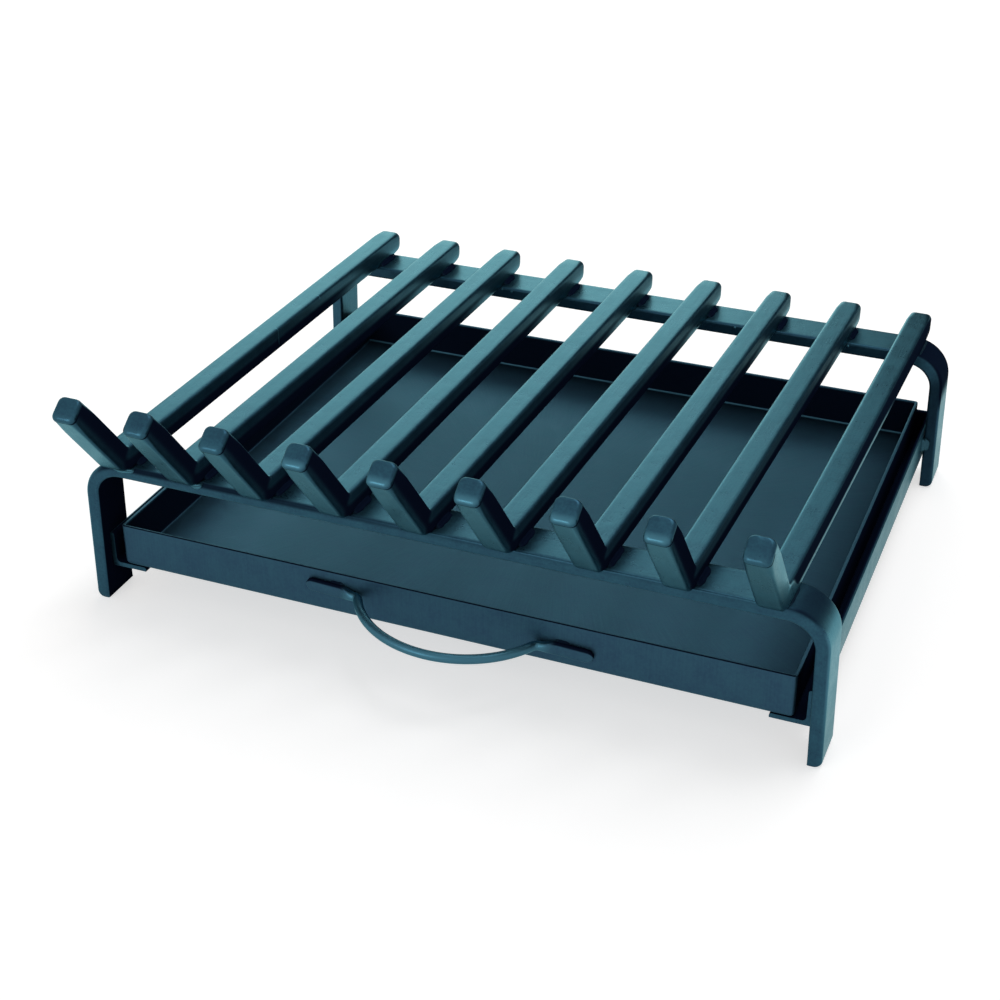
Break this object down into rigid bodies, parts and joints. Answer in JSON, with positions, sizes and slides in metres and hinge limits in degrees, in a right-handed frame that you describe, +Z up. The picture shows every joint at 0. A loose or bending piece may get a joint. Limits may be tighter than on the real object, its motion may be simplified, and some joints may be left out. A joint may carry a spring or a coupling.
{
  "type": "log grate",
  "caption": "Welded steel fire grate whose bars turn up at the front as log stops, on two bent flat-bar frames, with an ash pan that slides out on angle runners.",
  "frame": {"origin": "centre of the assembled grate's bounding box, at hearth level", "axes": "+X to the grate's right seen from the front, -Y towards the front (the log stops and the pan's handle), +Z up"},
  "size_m": [0.4918, 0.4468, 0.1733],
  "materials": {
    "bar_paint": "satin heat-resistant paint on rolled square bar, blue-grey sheen on the tops",
    "frame_paint": "satin heat-resistant paint on bent flat bar",
    "runner_paint": "satin heat-resistant paint on rolled angle",
    "pan_paint": "satin heat-resistant paint on folded sheet, fine orange peel",
    "handle_paint": "satin heat-resistant paint on round rod with hammered ends",
    "weld_paint": "painted weld beads, rippled"
  },
  "bodies": {
    "grate": {"front_frame": "frame_paint", "rear_frame": "frame_paint", "bar_1": "bar_paint", "bar_2": "bar_paint", "bar_3": "bar_paint", "bar_4": "bar_paint", "bar_5": "bar_paint", "bar_6": "bar_paint", "bar_7": "bar_paint", "bar_8": "bar_paint", "bar_9": "bar_paint", "left_runner": "runner_paint", "right_runner": "runner_paint", "rear_runner": "runner_paint", "front_bar_welds": "weld_paint", "rear_bar_welds": "weld_paint", "runner_welds": "weld_paint"},
    "pan": {"ash_pan": "pan_paint", "pan_handle": "handle_paint", "handle_welds": "weld_paint"}
  },
  "joints": [
    {"name": "pan_slide", "type": "slide", "parent": "grate", "child": "pan", "axis": [0, -1, 0], "range_m": [0, 0.37]}
  ]
}
